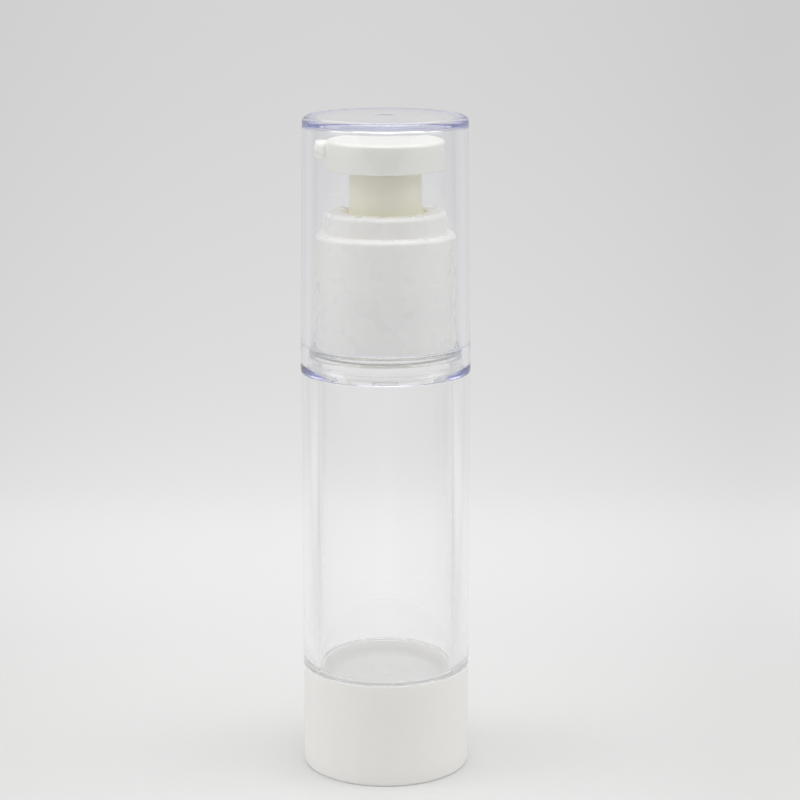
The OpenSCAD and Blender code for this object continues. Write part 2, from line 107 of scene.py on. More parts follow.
def mapRange(nodes, links, value, source, target=(0.0, 1.0), curve="SMOOTHSTEP"):
    # The value carried from one range to another, with a soft start and end unless the curve says otherwise.
    node = addNode(nodes, "MapRange", interpolation_type=curve)
    for label, given in zip(("Value", "From Min", "From Max", "To Min", "To Max"), (value, *source, *target)):
        feed(links, node.inputs[label], given)
    return node.outputs[0]


def rampNode(nodes, links, value, stops):
    # A smooth curve through brightnesses at places from 0 to 1.
    node = addNode(nodes, "ValToRGB")
    node.color_ramp.interpolation = "B_SPLINE"
    for i, (place, level) in enumerate(stops):
        stop = node.color_ramp.elements[i] if i < 2 else node.color_ramp.elements.new(place)
        stop.position, stop.color = place, (level, level, level, 1)
    links.new(value, node.inputs[0])
    return node.outputs[0]


def noiseNode(nodes, links, place, scale, detail=2.0):
    node = addNode(nodes, "TexNoise")
    node.inputs["Detail"].default_value = detail
    feed(links, node.inputs["Scale"], scale)
    links.new(place, node.inputs["Vector"])
    return node.outputs["Fac"]


def stretched(nodes, links, place, scale, turn=(0.0, 0.0, 0.0)):
    node = addNode(nodes, "Mapping")
    node.inputs["Rotation"].default_value = turn
    node.inputs["Scale"].default_value = scale
    links.new(place, node.inputs["Vector"])
    return node.outputs[0]


def axesOf(nodes, links, kind="Object"):
    # The three coordinates, each to be used by its letter.
    axes = addNode(nodes, "SeparateXYZ")
    links.new(addNode(nodes, "TexCoord").outputs[kind], axes.inputs[0])
    return axes.outputs


def mixColours(nodes, links, share, first, second, blend="MIX"):
    # The first colour where the share is 0 and the second where it is 1, or their product in proportion.
    node = addNode(nodes, "Mix", data_type="RGBA", blend_type=blend)
    for label, given in zip(("Factor", "A", "B"), (share, first, second)):
        feed(links, node.inputs[label], given)
    return node.outputs["Result"]


def mixShaders(nodes, links, share, first, second):
    node = addNode(nodes, "MixShader")
    for socket, given in zip(node.inputs, (share, first, second)):
        links.new(given, socket)
    return node.outputs[0]


def endMaterial(nodes, links, surface, volume=None):
    out = addNode(nodes, "OutputMaterial")
    links.new(surface, out.inputs["Surface"])
    if volume:
        links.new(volume, out.inputs["Volume"])


# The stage: a pale floor that bends up into a backdrop behind the bottle

stage = {
    "halfWidth": 1.6,
    "front": -1.2,
    "bendStart": 0.20,
    "bendRadius": 0.16,
    "wallHeight": 1.5,
    "flatSteps": 40,
    "bendSteps": 32,
    "wallSteps": 30,
    "columns": 49,
    "floorColour": (0.715, 0.715, 0.71),
    "glow": (0.03, 0.13),       # how far behind the bottle the floor starts to show its own glow, and shows it fully
    "rampLength": 0.5,          # distance back plus height at which the ramp ends
    # How bright the backdrop glows along that line: a painted falloff of the light
    "ramp": [(0.0, 0.812), (0.08, 0.838), (0.2, 0.85), (0.34, 0.868), (0.44, 0.80), (0.6, 0.732), (0.8, 0.70),
             (1.0, 0.66)],
    # Painted shade: how it gets darker from the middle of the picture to its sides, on the glow and on the near floor's
    # colour
    "besideView": [(0.0, 1.0), (0.07, 0.985), (0.13, 0.95), (0.18, 0.90), (1.0, 0.90)],
    # Painted light: how bright it is beyond the picture, by the angle round the bottle, where the clear walls show it
    "aroundBottle": [(0.0, 0.95), (0.2, 0.98), (0.48, 1.0), (0.62, 0.93), (0.70, 0.72), (1.0, 0.72)],
    "handOver": (0.175, 0.28),  # where the one gives way to the other
    "cameraBack": 0.47,
    "middleShift": 0.02,
    # Painted light: through clear walls the backdrop glows brighter by this share
    "glassLift": 1.035,         # the photo's clear walls take almost nothing from what is behind them
    # Painted shade on the upper body: behind it the backdrop shows a little darker through clear walls, by the same
    # line as the ramp
    "throughGlass": [(0.0, 1.0), (0.40, 1.0), (0.48, 0.95), (0.55, 0.95), (0.62, 1.0), (1.0, 1.0)],
}


def sweepSurface(p):
    # Height over distance: flat, then a quarter circle, then straight up, carried sideways along X.
    flat = np.linspace(p["front"], p["bendStart"], p["flatSteps"])
    turn = np.linspace(0, math.pi / 2, p["bendSteps"])[1:]
    rise = np.linspace(p["bendRadius"], p["wallHeight"], p["wallSteps"])[1:]
    y = np.concatenate([flat, p["bendStart"] + p["bendRadius"] * np.sin(turn),
                        np.full(len(rise), p["bendStart"] + p["bendRadius"])])
    z = np.concatenate([np.zeros(len(flat)), p["bendRadius"] * (1 - np.cos(turn)), rise])
    x = np.linspace(-p["halfWidth"], p["halfWidth"], p["columns"])
    wide = (len(x), len(y))
    return np.stack([np.broadcast_to(x[:, None], wide), np.broadcast_to(y, wide), np.broadcast_to(z, wide)], axis=-1)


def sideLevels(nodes, links, axes, p):
    # Painted light and shade of the sweep: in the picture the brightness goes by x over the distance from the camera,
    # and beyond it by the angle round the bottle, as a share of a quarter turn. Both are the same to the left and to
    # the right.
    aside = mathNode(nodes, links, "DIVIDE", axes["X"], mathNode(nodes, links, "ADD", axes["Y"], p["cameraBack"]))
    aside = mathNode(nodes, links, "ABSOLUTE", mathNode(nodes, links, "ADD", aside, p["middleShift"]))
    turned = mathNode(nodes, links, "ARCTAN2", mathNode(nodes, links, "ABSOLUTE", axes["X"]), axes["Y"])
    turned = mathNode(nodes, links, "DIVIDE", turned, math.pi / 2)
    beyond = mapRange(nodes, links, aside, p["handOver"])
    beside = rampNode(nodes, links, aside, p["besideView"])
    inView = mathNode(nodes, links, "MULTIPLY", beside, mathNode(nodes, links, "SUBTRACT", 1.0, beyond))
    outOfView = mathNode(nodes, links, "MULTIPLY", rampNode(nodes, links, turned, p["aroundBottle"]), beyond)
    return beside, mathNode(nodes, links, "ADD", inView, outOfView)


def stageMaterial(p):
    # The floor is a matte surface near the bottle, so it keeps the shadow, and its colour carries painted shade towards
    # the sides; the backdrop shows as a soft gradient of painted light and shade to the camera, to reflections and
    # through clear plastic. Its outer side is open, so the bottle also shows from behind it and from below.
    material, nodes, links = nodeTree("paleSweep")
    axes = axesOf(nodes, links)
    rays = addNode(nodes, "LightPath").outputs
    away = mapRange(nodes, links, axes["Y"], p["glow"])
    along = mathNode(nodes, links, "ADD", axes["Y"], axes["Z"])
    along = mathNode(nodes, links, "DIVIDE", along, p["rampLength"], clamp=True)
    beside, side = sideLevels(nodes, links, axes, p)
    shown = mathNode(nodes, links, "MULTIPLY", rampNode(nodes, links, along, p["ramp"]), side)
    # Painted light and shade on what clear walls show: lifted, with a darker band behind the upper body
    lift = mathNode(nodes, links, "MULTIPLY", rampNode(nodes, links, along, p["throughGlass"]), p["glassLift"])
    lift = mathNode(nodes, links, "SUBTRACT", lift, 1.0)
    lift = mathNode(nodes, links, "MULTIPLY", rays["Is Transmission Ray"], lift)
    lift = mathNode(nodes, links, "ADD", lift, 1.0)
    glow = addNode(nodes, "Emission")
    links.new(mathNode(nodes, links, "MULTIPLY", shown, lift), glow.inputs["Strength"])
    matte = addNode(nodes, "BsdfDiffuse")
    # Painted shade: the matte floor's colour darkens towards the sides
    links.new(mixColours(nodes, links, 1.0, (*p["floorColour"], 1), beside, "MULTIPLY"), matte.inputs["Color"])
    seen = mathNode(nodes, links, "ADD", rays["Is Camera Ray"], rays["Is Glossy Ray"])
    seen = mathNode(nodes, links, "ADD", seen, rays["Is Transmission Ray"], clamp=True)
    share = mathNode(nodes, links, "MULTIPLY", seen, away)
    inner = mixShaders(nodes, links, share, matte.outputs[0], glow.outputs[0])
    outer = addNode(nodes, "BsdfTransparent").outputs[0]
    backfacing = addNode(nodes, "NewGeometry").outputs["Backfacing"]
    endMaterial(nodes, links, mixShaders(nodes, links, backfacing, inner, outer))
    return material


sweep = sweepSurface(stage)
floor = makeObject("floorSweep", sweep, gridQuads(sweep.shape[0], sweep.shape[1])[:, ::-1])
floor.data.materials.append(stageMaterial(stage))
print("stage made")


# The camera, at the place and lens that the rings of the bottle give

view = {
    "distance": 469.4,  # in millimetres, as the height
    "height": 182.4,
    "pitch": 12.74,     # degrees down
    "yaw": 0.352,       # degrees to the right
    "lens": 107.35,
    "sensor": 36,
    "nearest": 0.01,    # in metres
}


def addCamera(p):
    data = bpy.data.cameras.new("photoCamera")
    data.lens = p["lens"]
    data.sensor_width = p["sensor"]
    data.clip_start = p["nearest"]
    camera = bpy.data.objects.new("photoCamera", data)
    camera.location = (0, -p["distance"] * mm, p["height"] * mm)
    camera.rotation_euler = (math.radians(90 - p["pitch"]), 0, math.radians(-p["yaw"]))
    scene.collection.objects.link(camera)
    scene.camera = camera


addCamera(view)
print("camera made")


# Light: an even pale room with a darker side behind the camera, and soft boxes above and beside

light = {
    "room": 1.2,
    "roomFront": 0.31,              # how bright the room is behind the camera
    "frontInGlass": 0.72,           # and how bright it is where clear walls show it
    "frontToSide": (-1.0, -0.25),   # where the one gives way to the other, along Y
    "roomTop": 1.35,
    "sideToTop": (0.1, 0.9),        # the same, along Z
    "shown": 0.78,                  # what the camera sees past the floor's edge, from the side or behind
    "bounces": 128,                 # light runs a long way inside clear walls
    "clearBounces": 24,
    "boxes": [
        # name, place, aims at, width, height, brightness of its face
        ("topBox", (0.05, 0.05, 0.95), (0, 0, 0.1), 0.75, 0.75, 2.05),
        ("leftBox", (-0.85, -0.15, 0.45), (0, 0, 0.08), 0.45, 0.7, 1.0),
        ("rightBox", (0.85, -0.15, 0.45), (0, 0, 0.08), 0.45, 0.7, 0.7),
        ("windowBox", (0.02, -0.75, 0.78), (0, 0, 0.12), 0.8, 0.12, 1.6),
    ],
}


def softBox(name, place, aim, width, height, brightness):
    # A flat lamp gives pi times its area times the brightness of its face.
    data = bpy.data.lights.new(name, "AREA")
    data.shape = "RECTANGLE"
    data.size = width
    data.size_y = height
    data.energy = brightness * math.pi * width * height
    box = bpy.data.objects.new(name, data)
    box.location = place
    box.rotation_euler = (Vector(aim) - Vector(place)).to_track_quat("-Z", "Y").to_euler()
    scene.collection.objects.link(box)


def roomLight(p):
    # Brightness by direction: it rises from behind the camera to the sides, and a little more to the top.
    world = bpy.data.worlds.new("paleRoom")
    scene.world = world
    world.use_nodes = True
    nodes, links = world.node_tree.nodes, world.node_tree.links
    nodes.clear()
    axes = axesOf(nodes, links, "Generated")
    rays = addNode(nodes, "LightPath").outputs
    front = mathNode(nodes, links, "MULTIPLY", rays["Is Transmission Ray"], p["frontInGlass"] - p["roomFront"])
    front = mathNode(nodes, links, "ADD", front, p["roomFront"])
    around = mapRange(nodes, links, axes["Y"], p["frontToSide"], (front, p["room"]), "SMOOTHERSTEP")
    top = mapRange(nodes, links, axes["Z"], p["sideToTop"], (0.0, p["roomTop"] - p["room"]))
    plain = addNode(nodes, "Mix", data_type="FLOAT")
    links.new(rays["Is Camera Ray"], plain.inputs["Factor"])
    links.new(mathNode(nodes, links, "ADD", around, top), plain.inputs["A"])
    plain.inputs["B"].default_value = p["shown"]
    background = addNode(nodes, "Background")
    links.new(plain.outputs["Result"], background.inputs["Strength"])
    links.new(background.outputs[0], addNode(nodes, "OutputWorld").inputs["Surface"])


roomLight(light)
for box in light["boxes"]:
    softBox(*box)
scene.view_settings.view_transform = "Standard"
scene.cycles.max_bounces = light["bounces"]
scene.cycles.glossy_bounces = light["bounces"]
scene.cycles.transmission_bounces = light["bounces"]
scene.cycles.transparent_max_bounces = light["clearBounces"]
print("light made")


# Shared effects

moulding = {
    "driftDetail": 3,
    "glossScale": 220.0,
    "grainDetail": 2,
    "waveScale": 90.0,
}
handling = {
    "lines": [((0.5, 0.3, 0.0), (900, 900, 60)), ((-0.7, -0.42, 0.0), (700, 700, 45))],  # turn and stretch of each
    "lineLevel": 0.62,  # a line runs where its noise has this value
}


def newGroup(name, inputs, outputs):
    group = bpy.data.node_groups.new(name, "ShaderNodeTree")
    for label, kind, value in inputs:
        socket = group.interface.new_socket(label, in_out="INPUT", socket_type="NodeSocket" + kind)
        socket.default_value = value
    for label, kind in outputs:
        group.interface.new_socket(label, in_out="OUTPUT", socket_type="NodeSocket" + kind)
    given, made = group.nodes.new("NodeGroupInput"), group.nodes.new("NodeGroupOutput")
    return group, group.nodes, group.links, given.outputs, made.inputs


def mouldedSkinGroup(p):
    # Moulded plastic: its colour drifts slowly between two shades, its gloss drifts a little faster, and a fine
    # spark-eroded grain lies over a slow waviness.
    group, nodes, links, given, made = newGroup("mouldedSkin", [
        ("Colour", "Color", (0.8, 0.8, 0.8, 1)), ("Shade", "Color", (0.7, 0.7, 0.7, 1)),
        ("Drift Scale", "Float", 60.0), ("Drift Amount", "Float", 0.5),
        ("Roughness", "Float", 0.35), ("Roughness Spread", "Float", 0.08),
        ("Grain Scale", "Float", 4000.0), ("Grain Share", "Float", 0.5),
    ], [("Colour", "Color"), ("Roughness", "Float"), ("Height", "Float")])
    place = addNode(nodes, "TexCoord").outputs["Object"]
    drift = noiseNode(nodes, links, place, given["Drift Scale"], p["driftDetail"])
    drift = mathNode(nodes, links, "MULTIPLY", drift, given["Drift Amount"], clamp=True)
    links.new(mixColours(nodes, links, drift, given["Colour"], given["Shade"]), made["Colour"])
    gloss = mathNode(nodes, links, "SUBTRACT", noiseNode(nodes, links, place, p["glossScale"]), 0.5)
    gloss = mathNode(nodes, links, "MULTIPLY", gloss, given["Roughness Spread"])
    links.new(mathNode(nodes, links, "ADD", gloss, given["Roughness"]), made["Roughness"])
    grain = noiseNode(nodes, links, place, given["Grain Scale"], p["grainDetail"])
    grain = mathNode(nodes, links, "MULTIPLY", grain, given["Grain Share"])
    wave = noiseNode(nodes, links, place, p["waveScale"], 1)
    links.new(mathNode(nodes, links, "ADD", grain, wave), made["Height"])
    return group


def handlingMarksGroup(p):
    # Clear plastic that has been handled: faint fine lines where a stretched noise passes near one level.
    group, nodes, links, given, made = newGroup("handlingMarks", [
        ("Roughness", "Float", 0.02), ("Mark Roughness", "Float", 0.12),
        ("Line Width", "Float", 0.004), ("Waviness Scale", "Float", 45.0),
    ], [("Roughness", "Float"), ("Height", "Float")])
    place = addNode(nodes, "TexCoord").outputs["Object"]
    masks = []
    for turn, scale in p["lines"]:
        line = noiseNode(nodes, links, stretched(nodes, links, place, scale, turn), 1.0, 1.0)
        off = mathNode(nodes, links, "ABSOLUTE", mathNode(nodes, links, "SUBTRACT", line, p["lineLevel"]))
        masks.append(mathNode(nodes, links, "LESS_THAN", off, given["Line Width"]))
    mark = mathNode(nodes, links, "MAXIMUM", *masks)
    spread = mathNode(nodes, links, "SUBTRACT", given["Mark Roughness"], given["Roughness"])
    rough = mathNode(nodes, links, "MULTIPLY", mark, spread)
    links.new(mathNode(nodes, links, "ADD", rough, given["Roughness"]), made["Roughness"])
    links.new(noiseNode(nodes, links, place, given["Waviness Scale"], 1.0), made["Height"])
    return group


mouldedSkin = mouldedSkinGroup(moulding)
handlingMarks = handlingMarksGroup(handling)
print("shared effects made")


# Materials

milky = {
    "ior": 1.49,
    "reach": (1.0, 0.97, 0.85),     # how far red, green and blue go into it, as shares of the depth
    "depth": 1.4,
    # the least share of the painted glow, where a piece names none of its own
    "leastPaintedGlow": 0.0,
}


def placeGroup(nodes, group, values):
    node = addNode(nodes, "Group")
    node.node_tree = group
    for label, value in values.items():
        node.inputs[label].default_value = (*value, 1) if isinstance(value, tuple) else value
    return node.outputs


def bumpFrom(nodes, links, height, shader, strength, depth):
    bump = addNode(nodes, "Bump")
    bump.inputs["Strength"].default_value = strength
    bump.inputs["Distance"].default_value = depth * mm
    links.new(height, bump.inputs["Height"])
    links.new(bump.outputs[0], shader.inputs["Normal"])


def paintedGlowAmount(nodes, links, p):
    # Painted glow, standing in for light that would soak through milky walls into shaded faces and gaps: full where the
    # distance from the axis and the height have reached their second limits, and the least share of it before their
    # first ones.
    axes = axesOf(nodes, links)
    square = mathNode(nodes, links, "ADD", mathNode(nodes, links, "MULTIPLY", axes["X"], axes["X"]),
                      mathNode(nodes, links, "MULTIPLY", axes["Y"], axes["Y"]))
    least = p.get("least", milky["leastPaintedGlow"])
    shares = [mapRange(nodes, links, value, (start * mm, end * mm), (least, 1.0))
              for value, (start, end) in ((mathNode(nodes, links, "SQRT", square), p["radius"]),
                                          (axes["Z"], p["height"]))]
    return mathNode(nodes, links, "MULTIPLY", mathNode(nodes, links, "MULTIPLY", *shares), p["strength"])


def opaquePlastic(name, skin, grain, waxy, paintedGlow=None):
    # White plastic: moulded skin over a body that lets light wander a little way, the more the waxier it is, with a
    # painted glow where one is given.
    material, nodes, links = nodeTree(name)
    shader = addNode(nodes, "BsdfPrincipled")
    shader.inputs["IOR"].default_value = milky["ior"]
    shader.inputs["Subsurface Weight"].default_value = waxy
    shader.inputs["Subsurface Radius"].default_value = milky["reach"]
    shader.inputs["Subsurface Scale"].default_value = milky["depth"] * mm
    effect = placeGroup(nodes, mouldedSkin, skin)
    links.new(effect["Colour"], shader.inputs["Base Color"])
    links.new(effect["Roughness"], shader.inputs["Roughness"])
    bumpFrom(nodes, links, effect["Height"], shader, *grain)
    if paintedGlow:
        # Painted light: the skin's colour is given off as a glow, in the share worked out above, whatever the lamps do
        glow = mixColours(nodes, links, paintedGlowAmount(nodes, links, paintedGlow), (0, 0, 0, 1), effect["Colour"])
        links.new(glow, shader.inputs["Emission Color"])
        shader.inputs["Emission Strength"].default_value = 1.0
    endMaterial(nodes, links, shader.outputs[0])
    return material


def clearPlastic(name, p):
    # Clear styrene: it bends light, and its toner takes a little red and green on the way through. Lamps, and
    # what the white pieces throw on each other and get from the room, reach through it, dimmed by its two faces.
    material, nodes, links = nodeTree(name)
    shader = addNode(nodes, "BsdfPrincipled")
    shader.inputs["Base Color"].default_value = (1, 1, 1, 1)
    shader.inputs["Transmission Weight"].default_value = 1.0
    shader.inputs["IOR"].default_value = p["ior"]
    effect = placeGroup(nodes, handlingMarks, p["marks"])
    edge = (p["frostedBelow"] * mm, (p["frostedBelow"] + p["frostEdge"]) * mm)
    frosted = mapRange(nodes, links, axesOf(nodes, links)["Z"], edge, (p["frost"], 0.0), "LINEAR")
    links.new(mathNode(nodes, links, "MAXIMUM", effect["Roughness"], frosted), shader.inputs["Roughness"])
    bumpFrom(nodes, links, effect["Height"], shader, *p["wave"])
    through = addNode(nodes, "BsdfTransparent")
    through.inputs["Color"].default_value = (*p["lampsThrough"], 1)
    rays = addNode(nodes, "LightPath").outputs
    reached = mathNode(nodes, links, "MAXIMUM", rays["Is Shadow Ray"], rays["Is Diffuse Ray"])
    toner = addNode(nodes, "VolumeAbsorption")
    toner.inputs["Color"].default_value = (*p["toner"], 1)
    toner.inputs["Density"].default_value = p["tonerDensity"]
    endMaterial(nodes, links, mixShaders(nodes, links, reached, shader.outputs[0], through.outputs[0]),
                toner.outputs[0])
    return material


clearLook = {
    "ior": 1.57,
    "marks": {"Roughness": 0.015, "Mark Roughness": 0.04, "Line Width": 0.0004, "Waviness Scale": 22.0},
    "wave": (0.005, 0.2),       # strength and depth in millimetres
    "lampsThrough": (0.95, 0.955, 0.96),
    "frostEdge": 0.02,
    "frostedBelow": 0.0,
    "frost": 0.0,
}
clearBody = clearPlastic("clearBody", {
    **clearLook, "toner": (0.38, 0.41, 0.6), "tonerDensity": 3.0,
    "frostedBelow": 21.36, "frost": 0.5})   # the part inside the base has a rough face
clearCap = clearPlastic("clearCap", {**clearLook, "toner": (0.22, 0.265, 0.72), "tonerDensity": 8.5})

# Each white has its skin, the strength and depth of its grain, and where a painted glow lightens it
# Painted light: the nozzle glows, most on its underside and towards its tip
whiteButton = opaquePlastic("whiteButton", {
    "Colour": (0.98, 0.955, 0.875), "Shade": (0.965, 0.94, 0.855), "Roughness": 0.33, "Roughness Spread": 0.1,
    "Grain Scale": 5000.0}, grain=(0.12, 0.05), waxy=0.5,
    paintedGlow={"radius": (11.8, 12.6), "height": (129.8, 126.4), "strength": 0.15})
# Painted light: the collar's inside glows below its step
whiteCollar = opaquePlastic("whiteCollar", {
    "Colour": (0.925, 0.91, 0.88), "Shade": (0.91, 0.895, 0.86), "Roughness": 0.28, "Roughness Spread": 0.08,
    "Grain Scale": 4500.0}, grain=(0.03, 0.05), waxy=0.5,
    paintedGlow={"radius": (13.9, 13.2), "height": (110.2, 109.2), "strength": 0.2})
# Painted light: the cup glows inside, fading out at its top edge, to lighten the shaded joint where the bottle sits
whiteBase = opaquePlastic("whiteBase", {
    "Colour": (0.85, 0.842, 0.825), "Shade": (0.835, 0.827, 0.805), "Roughness": 0.38, "Roughness Spread": 0.08,
    "Grain Scale": 4500.0}, grain=(0.12, 0.05), waxy=0.5,
    paintedGlow={"radius": (17.05, 16.2), "height": (21.36, 21.0), "strength": 0.32})
# Painted light: the whole sleeve glows, fully low down in the collar's hole and faintly near the button
naturalSleeve = opaquePlastic("naturalSleeve", {
    "Colour": (0.98, 0.935, 0.765), "Shade": (0.97, 0.915, 0.69), "Roughness": 0.5, "Roughness Spread": 0.1,
    "Grain Scale": 3500.0}, grain=(0.15, 0.06), waxy=0.7,
    paintedGlow={"radius": (0.0, 1.0), "height": (115.5, 111.5), "strength": 0.35, "least": 0.14})
# Painted light: the housing's outer parts glow below the collar's hole, to lighten the gap round the sleeve
naturalHousing = opaquePlastic("naturalHousing", {
    "Colour": (0.84, 0.83, 0.77), "Shade": (0.81, 0.80, 0.73), "Roughness": 0.45, "Roughness Spread": 0.1,
    "Grain Scale": 3500.0}, grain=(0.15, 0.06), waxy=0.7,
    paintedGlow={"radius": (6.0, 8.0), "height": (112.0, 111.0), "strength": 0.27})
# Painted light: the piston's outer side glows below its upper lip
softWhite = opaquePlastic("softWhite", {
    "Colour": (0.735, 0.725, 0.71), "Shade": (0.71, 0.70, 0.68), "Roughness": 0.42, "Roughness Spread": 0.1,
    "Grain Scale": 3000.0}, grain=(0.15, 0.06), waxy=0.7,
    paintedGlow={"radius": (12.2, 12.7), "height": (19.6, 19.0), "strength": 0.15})
foamGasket = opaquePlastic("foamGasket", {
    "Colour": (0.72, 0.74, 0.77), "Shade": (0.66, 0.68, 0.72), "Roughness": 0.8, "Roughness Spread": 0.1,
    "Drift Scale": 900.0, "Grain Scale": 2500.0}, grain=(0.6, 0.1), waxy=0.0)


def steel(name, colour, roughness, stretch):
    # Drawn or polished steel: its gloss follows fine lines, stretched one way.
    material, nodes, links = nodeTree(name)
    shader = addNode(nodes, "BsdfPrincipled")
    shader.inputs["Base Color"].default_value = (*colour, 1)
    shader.inputs["Metallic"].default_value = 1.0
    place = stretched(nodes, links, addNode(nodes, "TexCoord").outputs["Object"], stretch)
    lines = noiseNode(nodes, links, place, 1.0)
    rough = mapRange(nodes, links, lines, (0.0, 1.0), (roughness * 0.7, roughness * 1.4), "LINEAR")
    links.new(rough, shader.inputs["Roughness"])
    endMaterial(nodes, links, shader.outputs[0])
    return material


steelWire = steel("steelWire", (0.60, 0.61, 0.63), 0.28, (900, 900, 5000))
steelBall = steel("steelBall", (0.70, 0.71, 0.72), 0.08, (3000, 3000, 3000))
print("materials made")


# Turned surfaces: nearly every piece of the bottle is one closed outline swept round the axis

turning = {
    "around": 224,
    "arcSteps": 7,
    "rounding": 0.04,       # of a corner that names none
    "sideShare": 0.45,      # the most of a side that one rounded corner may take
    "besideArc": 0.03,      # how far off an arc's end the extra point lies,
    "arcShare": 0.3,        # at most this share of the arc's reach
    "arcLeast": 0.01,       # and this much more,
    "restShare": 0.2,       # or this share of what the arc leaves of the side
}
crisp, fine, small, soft, full = 0.1, 0.15, 0.2, 0.3, 0.4   # roundings that the outlines share, in millimetres


def cornerArc(before, corner, after, radius):
    # The arc that touches both sides of a corner, with one more point just off each end of it, so that a long
    # straight side stays flat when it is shaded.
    p = turning
    toBefore, toAfter = before - corner, after - corner
    lengthBefore, lengthAfter = np.linalg.norm(toBefore), np.linalg.norm(toAfter)
    toBefore, toAfter = toBefore / lengthBefore, toAfter / lengthAfter
    half = math.acos(np.clip(toBefore @ toAfter, -1, 1)) / 2
    reach = min(radius / math.tan(half), p["sideShare"] * lengthBefore, p["sideShare"] * lengthAfter)
    radius = reach * math.tan(half)
    middle = corner + (toBefore + toAfter) / np.linalg.norm(toBefore + toAfter) * radius / math.sin(half)
    first, last = corner + toBefore * reach - middle, corner + toAfter * reach - middle
    start = math.atan2(first[1], first[0])
    turn = math.atan2(first[0] * last[1] - first[1] * last[0], first @ last)
    angles = start + turn * np.linspace(0, 1, p["arcSteps"] + 1)
    arc = middle + radius * np.stack([np.cos(angles), np.sin(angles)], axis=1)
    off = min(p["besideArc"], p["arcShare"] * reach + p["arcLeast"])
    offBefore = min(off, p["restShare"] * (lengthBefore - reach))
    offAfter = min(off, p["restShare"] * (lengthAfter - reach))
    return np.concatenate([[corner + toBefore * (reach + offBefore)], arc, [corner + toAfter * (reach + offAfter)]])


def roundedOutline(corners):
    # Corners are (radius, height, rounding) in millimetres. An outline that starts and ends on the axis is open.
    table = np.array([(*c, turning["rounding"])[:3] for c in corners], float)
    flat, rounding = table[:, :2], table[:, 2]
    isOpen = flat[0, 0] == 0 and flat[-1, 0] == 0
    parts = []
    for i in range(len(flat)):
        if isOpen and i in (0, len(flat) - 1):
            parts.append(flat[i:i + 1])
        else:
            parts.append(cornerArc(flat[i - 1], flat[i], flat[(i + 1) % len(flat)], rounding[i]))
    outline = np.concatenate(parts)
    area = np.sum(outline[:, 0] * np.roll(outline[:, 1], -1) - np.roll(outline[:, 0], -1) * outline[:, 1])
    return (outline if area > 0 else outline[::-1]) * mm, isOpen


def turnedPoints(outline, around):
    # A point at radius r and height h goes to (r cos v, r sin v, h) for every angle v round the axis.
    v = np.linspace(0, 2 * math.pi, around, endpoint=False)
    r, h = outline[:, 0][:, None], outline[:, 1][:, None]
    return np.stack([r * np.cos(v), r * np.sin(v), np.broadcast_to(h, (len(outline), around))], axis=-1)


def turnedPiece(name, corners):
    # A closed outline makes a ring that closes both ways, and an open one gets a fan of triangles at each pole.
    outline, isOpen = roundedOutline(corners)
    around = turning["around"]
    if not isOpen:
        grid = turnedPoints(outline, around)
        return makeObject(name, grid, gridQuads(len(outline), around, closeRows=True, closeColumns=True))
    rings = turnedPoints(outline[1:-1], around)
    count = len(outline) - 2
    quads = gridQuads(count, around, closeColumns=True)
    j = np.arange(around)
    ahead = (j + 1) % around
    firstPole, lastPole = count * around, count * around + 1
    firstFan = np.stack([np.full(around, firstPole), ahead, j], axis=1)
    lastFan = np.stack([np.full(around, lastPole), (count - 1) * around + j, (count - 1) * around + ahead], axis=1)
    poles = np.array([[0, 0, outline[0, 1]], [0, 0, outline[-1, 1]]])
    points = np.concatenate([rings.reshape(-1, 3), poles])
    return makeObject(name, points, [*quads, *firstFan, *lastFan])


def heightsOf(node):
    # A solid's lowest and highest height and its radius, in millimetres.
    low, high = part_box(node)
    return low.z / mm, high.z / mm, high.x / mm


def finishPiece(piece, body, slot, material, *nodes):
    piece.data.materials.clear()
    piece.data.materials.append(material)
    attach(piece, body)
    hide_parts(*nodes)
    print(piece.name, "made with", len(piece.data.polygons), "faces")


# Bottle body

bottle = {
    "wall": 3.5, "cupWall": 1.45, "pushFit": 0.05, "bead": 0.25, "beadWidth": 1.2, "beadUp": 0.8,
    "seatHeight": 5.3, "seatRadius": 15.43, "seatRound": 0.55, "seatFoot": 0.12,
    "capBead": 0.125, "capBeadDown": 2.8, "capBeadWidth": 1.8, "capBeadRound": 0.5,
    "shoulder": 1.8, "cone": 0.3, "neckInner": 10.15, "neckOuter": 11.55, "neckBead": 0.5, "neckBeadDown": 2.6,
    "chamfer": 0.3, "ledgeRound": 0.05,
    "offWhite": 0.03,       # clear faces stand this far off the white ones they would touch
}


